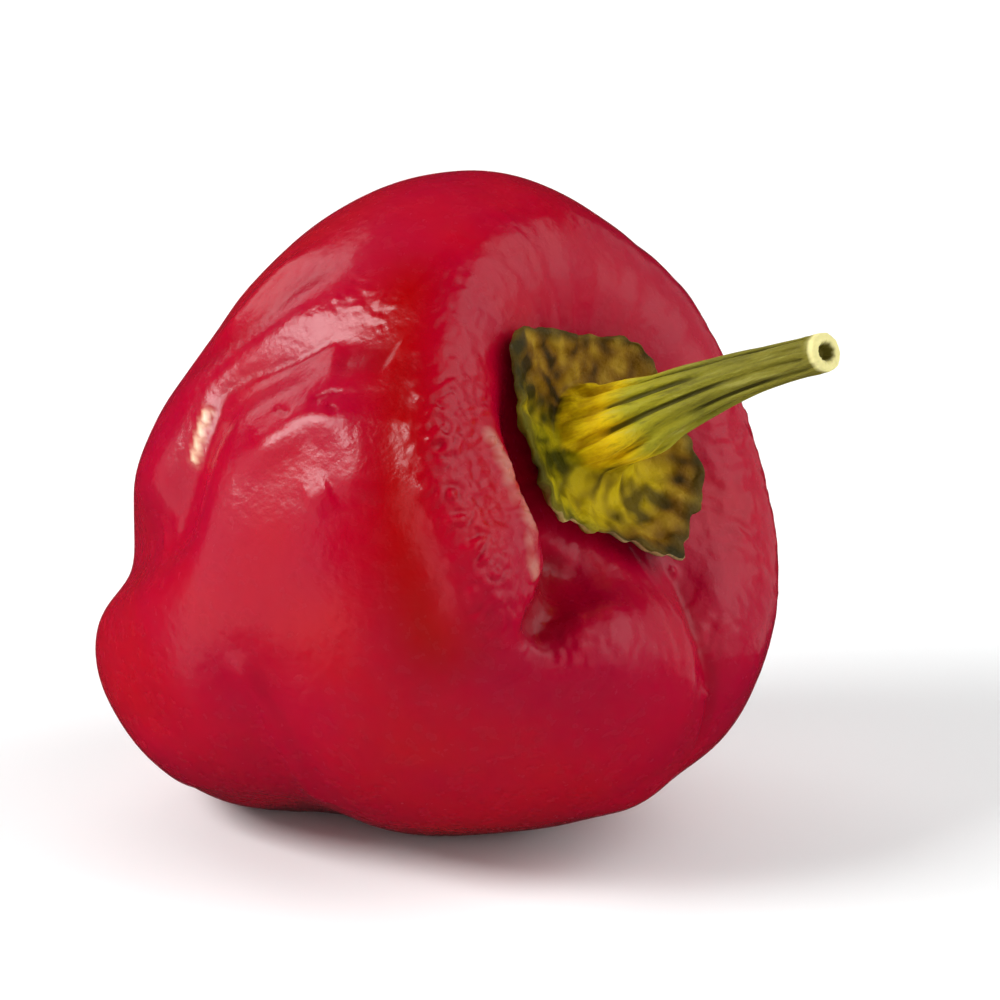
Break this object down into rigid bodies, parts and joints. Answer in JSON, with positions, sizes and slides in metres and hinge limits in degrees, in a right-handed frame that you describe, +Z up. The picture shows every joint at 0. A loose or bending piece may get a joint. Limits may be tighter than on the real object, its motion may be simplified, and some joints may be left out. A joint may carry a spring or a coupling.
{
  "type": "scotch bonnet pepper",
  "caption": "Squat lobed chilli fruit with a puckered shoulder, a cornered green calyx and a ribbed, bowed stem, lying on its flank on a small flat spot.",
  "frame": {"origin": "middle of the lying pepper's footprint, at the height of the surface that it rests on", "axes": "+X along the lying fruit from its blossom end to the cut end of the stem, +Y to its left seen from the stem's back, +Z up"},
  "size_m": [0.0602, 0.0472, 0.0468],
  "materials": {
    "skin": "glossy waxy skin",
    "stem": "dry, ribbed and matt"
  },
  "bodies": {
    "root": {"fruit": "skin", "stem_with_calyx": "stem"}
  },
  "joints": []
}
